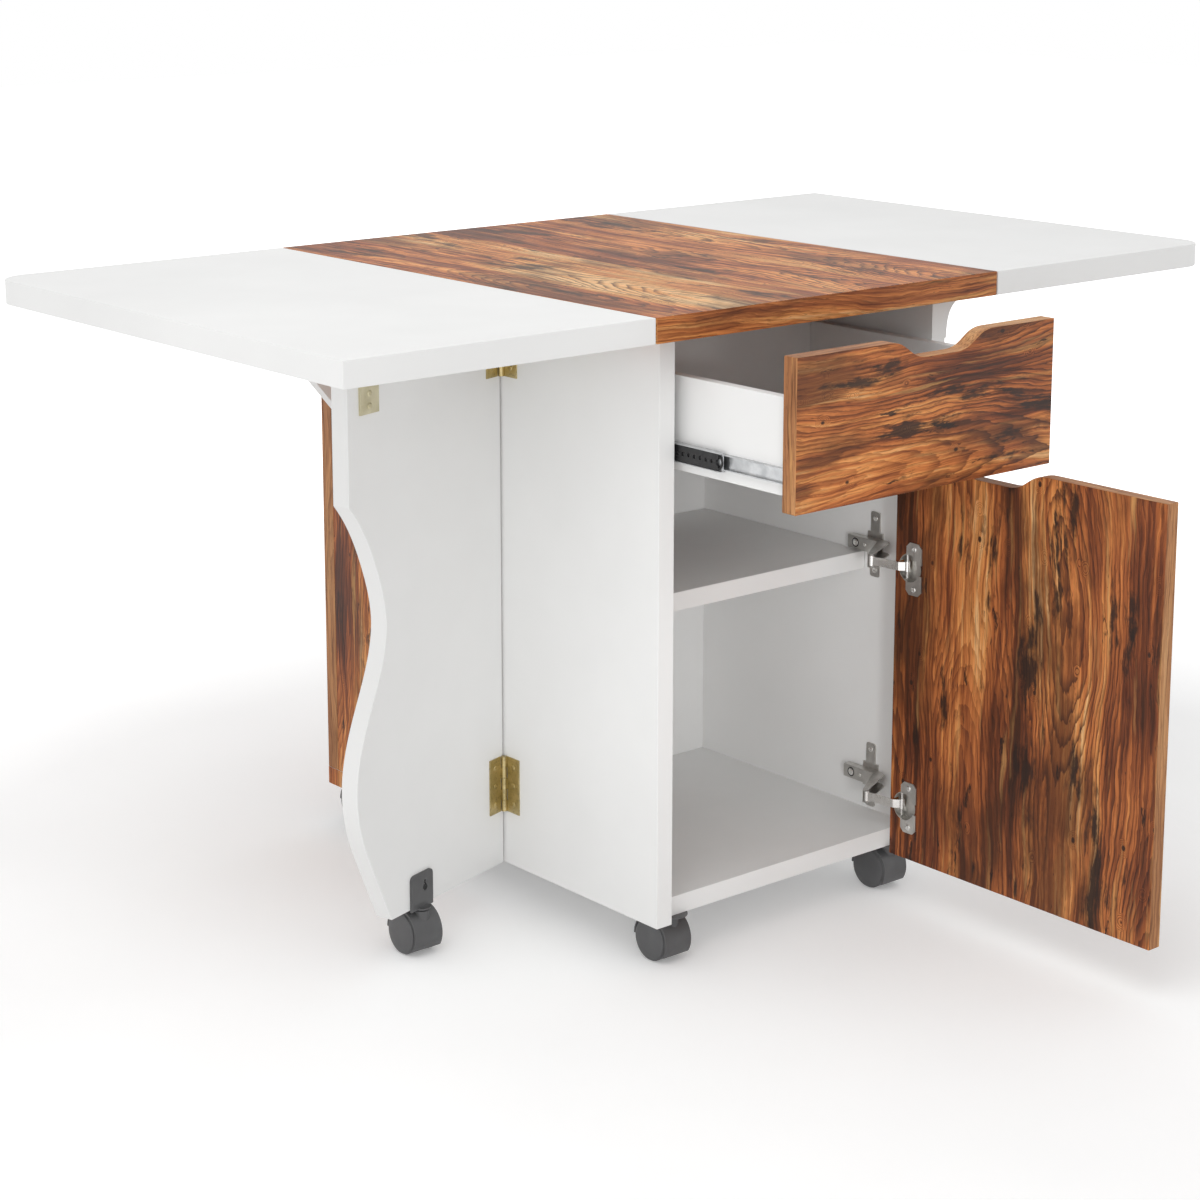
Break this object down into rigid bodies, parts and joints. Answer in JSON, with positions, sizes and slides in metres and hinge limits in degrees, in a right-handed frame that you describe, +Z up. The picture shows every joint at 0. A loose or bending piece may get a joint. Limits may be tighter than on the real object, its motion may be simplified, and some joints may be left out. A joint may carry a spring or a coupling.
{
  "type": "drop-leaf table",
  "caption": "Rolling drop-leaf table: castered cabinet with drawer, door and shelf, and hinged leaves held up by swing-out gates and brackets.",
  "frame": {"origin": "on the floor, under the middle of the whole table's bounding box as it stands in the picture", "axes": "+X to the right seen from the front, +Y from front to back, +Z up"},
  "size_m": [1.303, 1.047, 0.75],
  "materials": {
    "rustic_wood": "satin",
    "white_laminate": "matte laminate",
    "nickel_steel": "nickel plated",
    "zinc_steel": "zinc plated",
    "antique_brass": "antique",
    "pale_brass": "satin",
    "caster_plastic": "matte"
  },
  "bodies": {
    "cabinet": {"side_panel_left_front": "white_laminate", "side_panel_left_rear": "rustic_wood", "side_panel_right": "white_laminate", "bottom_board": "white_laminate", "divider_panel": "white_laminate", "rear_panel": "rustic_wood", "shelf": "white_laminate", "shelf_pins": "nickel_steel", "table_top": "rustic_wood", "top_corbels": "white_laminate", "slide_outer_rails": "zinc_steel", "caster_mounts": "caster_plastic", "door_hinge_plates": "nickel_steel", "door_hinge_arms": "nickel_steel", "gate_hinge_cabinet_leaves": "antique_brass", "leaf_hinge_top_flaps": "antique_brass", "bracket_hinge_cabinet_leaves": "antique_brass"},
    "drawer": {"drawer_front": "rustic_wood", "drawer_side_left": "white_laminate", "drawer_side_right": "white_laminate", "drawer_back": "white_laminate", "drawer_bottom": "white_laminate", "slide_inner_rails": "zinc_steel"},
    "middle_rails": {"slide_middle_rails": "zinc_steel"},
    "hinge_links": {"door_hinge_links": "nickel_steel"},
    "door_panel": {"door": "rustic_wood", "door_hinge_cups": "nickel_steel"},
    "left_leaf": {"leaf_left": "white_laminate", "leaf_left_hinge_flaps": "antique_brass"},
    "right_leaf": {"leaf_right": "white_laminate", "leaf_right_hinge_flaps": "antique_brass"},
    "left_bracket": {"leaf_bracket_left": "white_laminate", "bracket_left_hinge_leaf": "antique_brass"},
    "right_bracket": {"leaf_bracket_right": "white_laminate", "bracket_right_hinge_leaf": "antique_brass"},
    "left_gate": {"gate_left_leg": "white_laminate", "gate_left_hinge_leaves": "antique_brass", "gate_left_caster_plate": "caster_plastic", "gate_left_angle_bracket": "pale_brass"},
    "right_gate": {"gate_right_leg": "white_laminate", "gate_right_hinge_leaves": "antique_brass", "gate_right_caster_plate": "caster_plastic", "gate_right_angle_bracket": "pale_brass"},
    "front_left_caster": {"caster_front_left_housing": "caster_plastic"},
    "front_left_wheels": {"caster_front_left_wheels": "caster_plastic"},
    "front_left_brake": {"caster_front_left_brake_lever": "caster_plastic"},
    "front_right_caster": {"caster_front_right_housing": "caster_plastic"},
    "front_right_wheels": {"caster_front_right_wheels": "caster_plastic"},
    "front_right_brake": {"caster_front_right_brake_lever": "caster_plastic"},
    "rear_left_caster": {"caster_rear_left_housing": "caster_plastic"},
    "rear_left_wheels": {"caster_rear_left_wheels": "caster_plastic"},
    "rear_right_caster": {"caster_rear_right_housing": "caster_plastic"},
    "rear_right_wheels": {"caster_rear_right_wheels": "caster_plastic"},
    "gate_left_caster": {"caster_gate_left_housing": "caster_plastic"},
    "gate_left_wheels": {"caster_gate_left_wheels": "caster_plastic"},
    "gate_left_brake": {"caster_gate_left_brake_lever": "caster_plastic"},
    "gate_right_caster": {"caster_gate_right_housing": "caster_plastic"},
    "gate_right_wheels": {"caster_gate_right_wheels": "caster_plastic"},
    "gate_right_brake": {"caster_gate_right_brake_lever": "caster_plastic"}
  },
  "joints": [
    {"name": "leaf_left_hinge", "type": "hinge", "parent": "cabinet", "child": "left_leaf", "pos_m": [-0.26075, -0.1345, 0.7185], "axis": [0, -1, 0], "range_deg": [-2.5, 0]},
    {"name": "leaf_right_hinge", "type": "hinge", "parent": "cabinet", "child": "right_leaf", "pos_m": [0.26075, -0.1345, 0.7185], "axis": [0, 1, 0], "range_deg": [-2.5, 90]},
    {"name": "gate_left_hinge", "type": "hinge", "parent": "cabinet", "child": "left_gate", "pos_m": [-0.2235, 0.134, 0.057], "axis": [0, 0, -1], "range_deg": [-73, 17]},
    {"name": "gate_right_hinge", "type": "hinge", "parent": "cabinet", "child": "right_gate", "pos_m": [0.2235, 0.237, 0.057], "axis": [0, 0, 1], "range_deg": [-90, 0]},
    {"name": "bracket_left_hinge", "type": "hinge", "parent": "cabinet", "child": "left_bracket", "pos_m": [-0.2235, 0.432, 0.7145], "axis": [0, 0, -1], "range_deg": [-90, 0]},
    {"name": "bracket_right_hinge", "type": "hinge", "parent": "cabinet", "child": "right_bracket", "pos_m": [0.2235, -0.061, 0.7145], "axis": [0, 0, 1], "range_deg": [-90, 0]},
    {"name": "drawer_slide", "type": "slide", "parent": "cabinet", "child": "drawer", "axis": [0, -1, 0], "range_m": [-0.184, 0.166]},
    {"name": "middle_rail_slide", "type": "slide", "parent": "cabinet", "child": "middle_rails", "axis": [0, -1, 0], "range_m": [-0.092, 0.083]},
    {"name": "door_link_turn", "type": "hinge", "parent": "cabinet", "child": "hinge_links", "pos_m": [0.13762, -0.10367, 0.412], "axis": [0, 0, 1], "range_deg": [-2, 52.51]},
    {"name": "door_cup_turn", "type": "hinge", "parent": "hinge_links", "child": "door_panel", "pos_m": [0.1502, -0.1497, 0.412], "axis": [0, 0, 1], "range_deg": [-142.6, 5.5]},
    {"name": "caster_front_left_swivel", "type": "hinge", "parent": "cabinet", "child": "front_left_caster", "pos_m": [-0.174, -0.1055, 0.053], "axis": [0, 0, 1], "continuous": true},
    {"name": "caster_front_left_roll", "type": "hinge", "parent": "front_left_caster", "child": "front_left_wheels", "pos_m": [-0.174, -0.0915, 0.025], "axis": [1, 0, 0], "continuous": true},
    {"name": "caster_front_left_brake_press", "type": "hinge", "parent": "front_left_caster", "child": "front_left_brake", "pos_m": [-0.174, -0.07805, 0.03799], "axis": [-1, 0, 0], "range_deg": [0, 12]},
    {"name": "caster_front_right_swivel", "type": "hinge", "parent": "cabinet", "child": "front_right_caster", "pos_m": [0.174, -0.1055, 0.053], "axis": [0, 0, 1], "continuous": true},
    {"name": "caster_front_right_roll", "type": "hinge", "parent": "front_right_caster", "child": "front_right_wheels", "pos_m": [0.174, -0.0915, 0.025], "axis": [1, 0, 0], "continuous": true},
    {"name": "caster_front_right_brake_press", "type": "hinge", "parent": "front_right_caster", "child": "front_right_brake", "pos_m": [0.174, -0.07805, 0.03799], "axis": [-1, 0, 0], "range_deg": [0, 12]},
    {"name": "caster_rear_left_swivel", "type": "hinge", "parent": "cabinet", "child": "rear_left_caster", "pos_m": [-0.174, 0.4795, 0.053], "axis": [0, 0, 1], "continuous": true},
    {"name": "caster_rear_left_roll", "type": "hinge", "parent": "rear_left_caster", "child": "rear_left_wheels", "pos_m": [-0.174, 0.4935, 0.025], "axis": [1, 0, 0], "continuous": true},
    {"name": "caster_rear_right_swivel", "type": "hinge", "parent": "cabinet", "child": "rear_right_caster", "pos_m": [0.174, 0.4795, 0.053], "axis": [0, 0, 1], "continuous": true},
    {"name": "caster_rear_right_roll", "type": "hinge", "parent": "rear_right_caster", "child": "rear_right_wheels", "pos_m": [0.174, 0.4935, 0.025], "axis": [1, 0, 0], "continuous": true},
    {"name": "caster_gate_left_swivel", "type": "hinge", "parent": "left_gate", "child": "gate_left_caster", "pos_m": [-0.37709, 0.08913, 0.053], "axis": [0, 0, 1], "continuous": true},
    {"name": "caster_gate_left_roll", "type": "hinge", "parent": "gate_left_caster", "child": "gate_left_wheels", "pos_m": [-0.37709, 0.10313, 0.025], "axis": [1, 0, 0], "continuous": true},
    {"name": "caster_gate_left_brake_press", "type": "hinge", "parent": "gate_left_caster", "child": "gate_left_brake", "pos_m": [-0.37709, 0.11658, 0.03799], "axis": [-1, 0, 0], "range_deg": [0, 12]},
    {"name": "caster_gate_right_swivel", "type": "hinge", "parent": "right_gate", "child": "gate_right_caster", "pos_m": [0.2255, 0.397, 0.053], "axis": [0, 0, 1], "continuous": true},
    {"name": "caster_gate_right_roll", "type": "hinge", "parent": "gate_right_caster", "child": "gate_right_wheels", "pos_m": [0.2255, 0.411, 0.025], "axis": [1, 0, 0], "continuous": true},
    {"name": "caster_gate_right_brake_press", "type": "hinge", "parent": "gate_right_caster", "child": "gate_right_brake", "pos_m": [0.2255, 0.42445, 0.03799], "axis": [-1, 0, 0], "range_deg": [0, 12]}
  ],
  "couplings": [
    {"joint": "middle_rail_slide", "follows": "drawer_slide", "ratio": 0.5},
    {"joint": "door_cup_turn", "follows": "door_link_turn", "ratio": -2.714}
  ]
}
